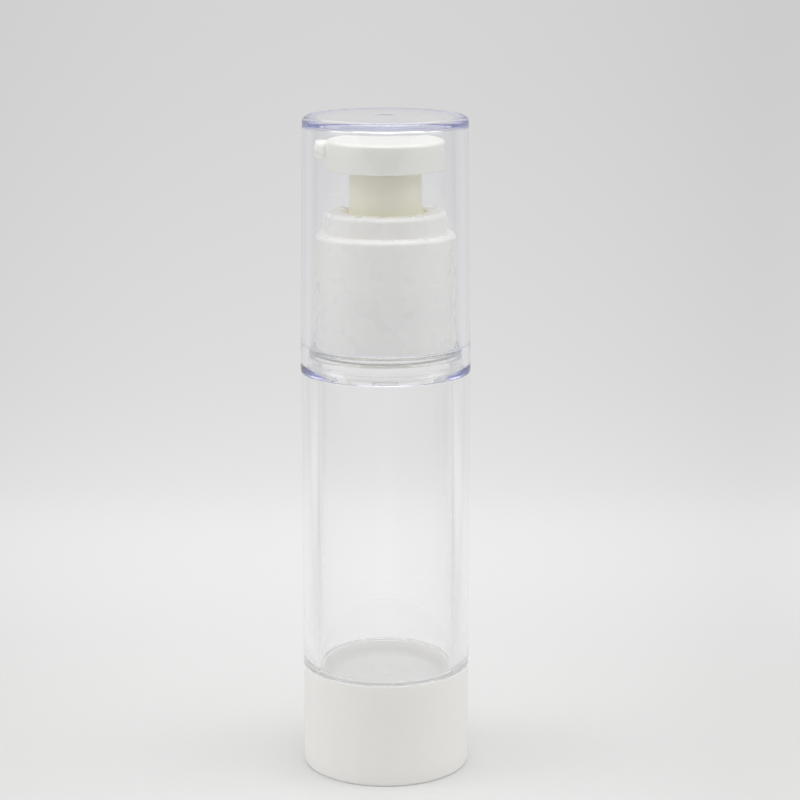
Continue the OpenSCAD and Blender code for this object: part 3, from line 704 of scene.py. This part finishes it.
def bottleCorners(p):
    # Up the spigot and its snap bead, over the ledge and the shoulder ring, up the neck, and down inside.
    low, neckTop, radius = heightsOf("bottle_body")
    cupTop = heightsOf("base_cup")[1] + p["offWhite"]
    seatTop = heightsOf("collar")[0] - p["offWhite"]
    ledge = heightsOf("collar")[0] - p["seatHeight"]
    bore = radius - p["wall"]
    spigot = radius - p["pushFit"] - p["cupWall"] - p["pushFit"]
    seat, neck = p["seatRadius"], p["neckOuter"]
    beadLow, capBead, neckBead = low + p["beadUp"], seatTop - p["capBeadDown"], neckTop - p["neckBeadDown"]
    half, capHalf = p["beadWidth"] / 2, p["capBeadWidth"] / 2
    ceiling = seatTop - p["shoulder"]
    return [
        (bore, low, small), (spigot, low, soft), (spigot, beadLow, small), (spigot + p["bead"], beadLow + half, small),
        (spigot, beadLow + 2 * half, small), (spigot, cupTop, crisp), (radius, cupTop, p["ledgeRound"]),
        (radius, ledge, fine), (seat, ledge, p["seatFoot"]), (seat, capBead - capHalf, soft),
        (seat + p["capBead"], capBead, p["capBeadRound"]), (seat, capBead + capHalf, soft),
        (seat, seatTop, p["seatRound"]), (neck, seatTop, small), (neck, neckBead - 2 * half, soft),
        (neck + p["neckBead"], neckBead, small), (neck + p["neckBead"], neckBead + half, small),
        (neck, neckTop - p["chamfer"], small), (neck - p["chamfer"], neckTop, crisp),
        (p["neckInner"], neckTop, fine), (p["neckInner"], ceiling, full), (bore, ceiling - p["cone"], full),
    ]


bottleBody = turnedPiece("bottleBody", bottleCorners(bottle))
finishPiece(bottleBody, "bottle", "clear_body", clearBody, "bottle_body")


# Base cup

base = {
    "wall": 1.45, "floor": 1.5, "lift": 0.8, "foot": 2.2, "footBevel": 0.4, "footRound": 0.25, "bottomRound": 0.6,
    "topRound": 0.08, "stopHeight": 5.8, "stopWall": 1.2, "stopRadius": 13.42, "vent": 0.8,
    "groove": 0.25, "grooveHeights": (4.65, 4.0, 3.35),
}


def baseCorners(p):
    # From the vent out under the floor, up the outside, and down inside past the snap groove and the stop ring.
    low, high, radius = heightsOf("base_cup")
    inner, top, foot = radius - p["wall"], low + p["lift"] + p["floor"], radius - p["foot"]
    stop, inside, stopTop = p["stopRadius"], p["stopRadius"] - p["stopWall"], top + p["stopHeight"]
    grooveTop, grooveMiddle, grooveLow = p["grooveHeights"]
    return [
        (p["vent"], low + p["lift"], fine), (foot, low + p["lift"], soft), (foot + p["footBevel"], low, p["footRound"]),
        (radius, low, p["bottomRound"]), (radius, high, p["topRound"]), (inner, high, crisp),
        (inner, grooveTop, small), (inner + p["groove"], grooveMiddle, small), (inner, grooveLow, small),
        (inner, top, soft), (stop, top, soft), (stop, stopTop, soft), (inside, stopTop, soft), (inside, top, soft),
        (p["vent"], top, fine),
    ]


baseCup = turnedPiece("baseCup", baseCorners(base))
finishPiece(baseCup, "bottle", "white_base", whiteBase, "base_cup")


# Follower piston

follower = {
    "wall": 1.2, "cup": 2.3, "well": 0.5, "wellRadius": 5.5, "wellSlope": 1.0, "wellRound": 0.8,
    "dishIn": 2.2, "dishRound": 2.2, "rim": 0.2, "rimRound": 0.12, "waist": 0.45, "lip": 1.6, "taper": 1.2,
    "gate": 0.9, "gateSlope": 0.25, "gateHeight": 0.12, "footIn": 0.8, "underRound": 0.6, "underSlope": 0.6,
}


def followerCorners(p):
    # From the gate mark over the dish to the upper lip, down the waist to the lower lip, and back under it.
    low, high, radius = heightsOf("follower_piston")
    waist, dish = radius - p["waist"], high - p["cup"]
    pit, well, gateTop = dish - p["well"], p["wellRadius"], dish - p["well"] + p["gateHeight"]
    upper, lower = high - p["lip"], low + p["lip"]
    return [
        (0, gateTop), (p["gate"], gateTop, crisp), (p["gate"] + p["gateSlope"], pit, crisp),
        (well - p["wellSlope"], pit, p["wellRound"]), (well, dish, p["wellRound"]),
        (radius - p["dishIn"], dish, p["dishRound"]), (radius - p["rim"], high, p["rimRound"]),
        (radius, high, crisp), (radius, upper, soft), (waist, upper - p["taper"], full),
        (waist, lower + p["taper"], full), (radius, lower, soft), (radius, low, small),
        (radius - p["footIn"], low, fine), (waist - p["wall"], lower + p["taper"], full),
        (waist - p["wall"], dish - p["wall"], p["underRound"]), (well + p["wall"], dish - p["wall"], soft),
        (well - p["wellSlope"] + p["underSlope"], pit - p["wall"], soft), (0, pit - p["wall"]),
    ]


followerPiston = turnedPiece("followerPiston", followerCorners(follower))
finishPiece(followerPiston, "follower", "soft_white", softWhite, "follower_piston")


# Collar

collar = {
    "wall": 1.1, "ringRadius": 12.15, "ringHeight": 4.2, "topRound": 0.85, "stepRound": 0.85,
    "hole": 8.34, "holeRound": 0.35, "lip": 1.6, "lipWall": 0.7,
}


def collarCorners(p):
    # Up the side, over the step and the ring, down into the hole to its lip, and back inside at one wall's depth.
    low, high, radius = heightsOf("collar")
    step = high - p["ringHeight"]
    inner, ring, under = radius - p["wall"], p["ringRadius"], step - p["wall"]
    roof, lip, lipOut = high - p["wall"], high - p["lip"], p["hole"] + p["lipWall"]
    return [
        (inner, low, fine), (radius, low, fine), (radius, step, p["stepRound"]), (ring, step, soft),
        (ring, high, p["topRound"]), (p["hole"], high, p["holeRound"]), (p["hole"], lip, fine),
        (lipOut, lip, fine), (lipOut, roof, small), (ring - p["wall"], roof, full), (ring - p["wall"], under, fine),
        (inner, under, full),
    ]


collarPiece = turnedPiece("steppedCollar", collarCorners(collar))
finishPiece(collarPiece, "bottle", "white_collar", whiteCollar, "collar")


# Sleeve under the button

sleeve = {"wall": 0.75, "radius": 7.25, "bead": 0.125, "beadDown": 1.2, "beadWidth": 1.2}


def sleeveCorners(p):
    # A plain tube with a low bead near its top.
    low, high, _ = heightsOf("stem_sleeve")
    radius, bead, half = p["radius"], high - p["beadDown"], p["beadWidth"] / 2
    return [
        (radius - p["wall"], low, fine), (radius, low, soft), (radius, bead - half, soft),
        (radius + p["bead"], bead, soft), (radius, bead + half, soft), (radius, high, crisp),
        (radius - p["wall"], high, crisp),
    ]


stemSleeve = turnedPiece("stemSleeve", sleeveCorners(sleeve))
finishPiece(stemSleeve, "button", "natural_sleeve", naturalSleeve, "stem_sleeve")


# Button with its nozzle

button = {
    "height": 5.8, "radius": 11.75, "wall": 1.2, "rimRound": 0.25, "topRound": 0.6,
    "ringInner": 7.3, "ringOuter": 8.2, "ringUp": 0.3, "groove": 0.125, "grooveDown": 1.2, "grooveHalf": 0.6,
    "sleeveInner": 6.5, "hub": 3.85, "socket": 2.55, "outlet": 0.9, "outletStart": 0.3,
    "nozzle": 1.75, "nozzleDown": 0.1, "nozzleStart": 4.2,
    "mouthRound": 0.22, "mouthFlare": 0.25, "mouthDepth": 0.3, "past": 1.0,
    "ribs": 8, "ribWidth": 0.8, "ribOverlap": 0.3, "sharpFrom": 40,     # degrees
}


def buttonHeights(p):
    # Both ends, the skirt's lower edge, the ceiling, the tops of the sleeve and the stem, and the nozzle's reach.
    low, high, _ = heightsOf("actuator")
    tip = -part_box("actuator")[0].x / mm
    return (low, high, high - p["height"], high - p["wall"], heightsOf("stem_sleeve")[1], heightsOf("stem")[1], tip)


def buttonCorners(p):
    # Over the roof and down the skirt, then inside: the ring that grips the sleeve, the hub, the socket, the outlet.
    hubLow, high, low, ceiling, sleeveTop, stemTop, _ = buttonHeights(p)
    outletTop = high - p["nozzle"] - p["nozzleDown"]
    groove, grooveHalf, ringLow = sleeveTop - p["grooveDown"], p["grooveHalf"], low + p["ringUp"]
    skirt, ringOut, ringIn = p["radius"] - p["wall"], p["ringOuter"], p["ringInner"]
    return [
        (0, high), (p["radius"], high, p["topRound"]), (p["radius"], low, soft), (skirt, low, p["rimRound"]),
        (skirt, ceiling, full), (ringOut, ceiling, soft), (ringOut, ringLow, small),
        (ringIn, ringLow, small), (ringIn, groove - grooveHalf, small), (ringIn + p["groove"], groove, soft),
        (ringIn, groove + grooveHalf, small), (ringIn, sleeveTop, crisp), (p["sleeveInner"], sleeveTop, crisp),
        (p["sleeveInner"], ceiling, soft), (p["hub"], ceiling, full), (p["hub"], hubLow, small),
        (p["socket"], hubLow, fine), (p["socket"], stemTop, crisp), (p["outlet"], stemTop, crisp),
        (p["outlet"], outletTop, crisp), (0, outletTop),
    ]


def layAlongX(thing, height):
    # A piece turned about Z is laid down: x, y and z go to minus z, y, and x above the given height.
    mesh = thing.data
    points = np.empty(len(mesh.vertices) * 3)
    mesh.vertices.foreach_get("co", points)
    x, y, z = points.reshape(-1, 3).T
    mesh.vertices.foreach_set("co", np.stack([-z, y, x + height], axis=1).ravel())
    mesh.update()


def ribBlocks(p):
    # One thin block for every rib, from inside the ring's wall to inside the button's wall.
    ceiling, sleeveTop = buttonHeights(p)[3:5]
    over = p["ribOverlap"]
    corners = np.array([(r, w, z) for r in (p["ringOuter"] - over, p["radius"] - p["wall"] + over)
                        for w in (-p["ribWidth"] / 2, p["ribWidth"] / 2) for z in (sleeveTop, ceiling + over)]) * mm
    faces = np.array([(0, 1, 3, 2), (4, 6, 7, 5), (0, 4, 5, 1), (2, 3, 7, 6), (0, 2, 6, 4), (1, 5, 7, 3)])
    angles = (np.arange(p["ribs"]) + 0.5) * 2 * math.pi / p["ribs"]
    cosine, sine = np.cos(angles)[:, None], np.sin(angles)[:, None]
    points = np.stack([corners[:, 0] * cosine - corners[:, 1] * sine,
                       corners[:, 0] * sine + corners[:, 1] * cosine,
                       np.broadcast_to(corners[:, 2], (p["ribs"], len(corners)))], axis=-1)
    numbers = faces[None] + len(corners) * np.arange(p["ribs"])[:, None, None]
    return makeObject("ribBlocks", points, numbers.reshape(-1, 4))


def combine(thing, tool, operation):
    # The first piece becomes the boolean of both, and the tool goes.
    change = thing.modifiers.new(operation.lower(), "BOOLEAN")
    change.operation = operation
    change.solver = "EXACT"
    change.object = tool
    bpy.context.view_layer.update()
    mesh = bpy.data.meshes.new_from_object(thing.evaluated_get(bpy.context.evaluated_depsgraph_get()))
    thing.modifiers.clear()
    thing.data = mesh
    bpy.data.objects.remove(tool)


def makeButton(p):
    # The turned shell, with the nozzle and the ribs joined on and the outlet bored through.
    shell = turnedPiece("pushButton", buttonCorners(p))
    high, tip = buttonHeights(p)[1], buttonHeights(p)[6]
    axis = (high - p["nozzle"] - p["nozzleDown"]) * mm
    tube = turnedPiece("nozzleTube", [
        (0, p["nozzleStart"]), (p["nozzle"], p["nozzleStart"], crisp), (p["nozzle"], tip, p["mouthRound"]), (0, tip)])
    layAlongX(tube, axis)
    combine(shell, tube, "UNION")
    combine(shell, ribBlocks(p), "UNION")
    mouth, end = p["outlet"] + p["mouthFlare"], tip + p["past"]
    bore = turnedPiece("outletBore", [
        (0, p["outletStart"]), (p["outlet"], p["outletStart"], soft), (p["outlet"], tip - p["mouthDepth"], crisp),
        (mouth, tip, crisp), (mouth, end, crisp), (0, end)])
    layAlongX(bore, axis)
    combine(shell, bore, "DIFFERENCE")
    shell.data.shade_smooth()
    shell.data.set_sharp_from_angle(angle=math.radians(p["sharpFrom"]))
    return shell


pushButton = makeButton(button)
finishPiece(pushButton, "button", "white_button", whiteButton, "actuator")


# Overcap

overcap = {
    "wall": 2.0, "roof": 1.5, "draft": 0.65, "topRound": 1.2, "roofRound": 0.9, "rim": 1.2, "rimRound": 0.5,
    "gate": 1.5, "gateSlope": 0.5, "gateDepth": 0.07, "recess": 0.6, "recessPlay": 0.3, "recessRound": 0.03,
    "leadIn": 1.0, "leadHeight": 1.3, "leadRound": 3.0,
}


def overcapCorners(p):
    # From the gate mark over the roof and down the drafted side, then up the lead-in, the recess and the inside.
    low, high, radius = heightsOf("overcap")
    top, roof, gateFloor = radius - p["draft"], high - p["roof"], high - p["gateDepth"]
    inner = radius - p["wall"]
    recess, recessTop = inner + p["recess"], heightsOf("collar")[0] + p["recessPlay"]
    shrink = p["draft"] * (recessTop - low) / (roof - low)
    return [
        (0, gateFloor), (p["gate"], gateFloor, soft), (p["gate"] + p["gateSlope"], high, soft),
        (top, high, p["topRound"]), (radius, low + p["rim"], p["rimRound"]), (radius, low, soft),
        (recess + p["leadIn"], low, crisp), (recess, low + p["leadHeight"], p["leadRound"]),
        (recess, recessTop, p["recessRound"]), (inner - shrink, recessTop, p["recessRound"]),
        (top - p["wall"], roof, p["roofRound"]), (0, roof),
    ]


overcapPiece = turnedPiece("clearOvercap", overcapCorners(overcap))
finishPiece(overcapPiece, "cap", "clear_cap", clearCap, "overcap")


# Return spring: a round wire wound with closed end turns

spring = {
    "wire": 0.9, "coil": 9.2, "turns": 6, "endClimb": 1.35, "play": 0.05, "stepsPerTurn": 56, "sides": 18,
    "press": 5.0,           # how much shorter it gets when the button is pressed right down
}


def springPoints(p):
    # The wire's middle climbs slowly in the end turns and faster between them, and its round section stands
    # square to the way it runs: middle + radius (cos s outward + sin s upward).
    low = heightsOf("stem_retainer")[1] + p["wire"] / 2 + p["play"]
    high = heightsOf("return_spring")[1] - p["wire"] / 2
    turns, climb = p["turns"], p["endClimb"]
    turn = np.linspace(0, turns, turns * p["stepsPerTurn"] + 1)
    height = np.interp(turn, [0, 1, turns - 1, turns], [low, low + climb, high - climb, high])
    angle = turn * 2 * math.pi
    radius = p["coil"] / 2
    middle = np.stack([radius * np.cos(angle), radius * np.sin(angle), height], axis=1)
    along = np.gradient(middle, axis=0)
    along /= np.linalg.norm(along, axis=1)[:, None]
    outward = np.stack([np.cos(angle), np.sin(angle), np.zeros_like(angle)], axis=1)
    upward = np.cross(outward, along)
    upward *= np.sign(upward[:, 2:3])
    side = np.linspace(0, 2 * math.pi, p["sides"], endpoint=False)[None, :, None]
    ring = p["wire"] / 2 * (np.cos(side) * outward[:, None] + np.sin(side) * upward[:, None])
    return (middle[:, None] + ring) * mm


def makeSpring(p):
    # The tube's rows of points joined up, with one flat face at each end of the wire.
    grid = springPoints(p)
    rows, sides = grid.shape[:2]
    ends = [np.arange(sides)[::-1], (rows - 1) * sides + np.arange(sides)]
    return makeObject("returnSpring", grid, [*gridQuads(rows, sides, closeColumns=True)[:, ::-1], *ends])


returnSpring = makeSpring(spring)
finishPiece(returnSpring, "bottle", "steel_wire", steelWire, "return_spring")
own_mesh(returnSpring)


# The pump's hidden pieces keep their solids and get their finishes

hiddenPieces = {
    "pump_chassis": naturalHousing,
    "stem_retainer": naturalHousing,
    "stem": naturalHousing,
    "stem_plug": softWhite,
    "pump_seal": softWhite,
    "neck_gasket": foamGasket,
    "inlet_ball": steelBall,
}
for nodeName, material in hiddenPieces.items():
    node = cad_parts[nodeName]
    node.data.materials.clear()
    node.data.materials.append(material)
print("hidden pieces finished")
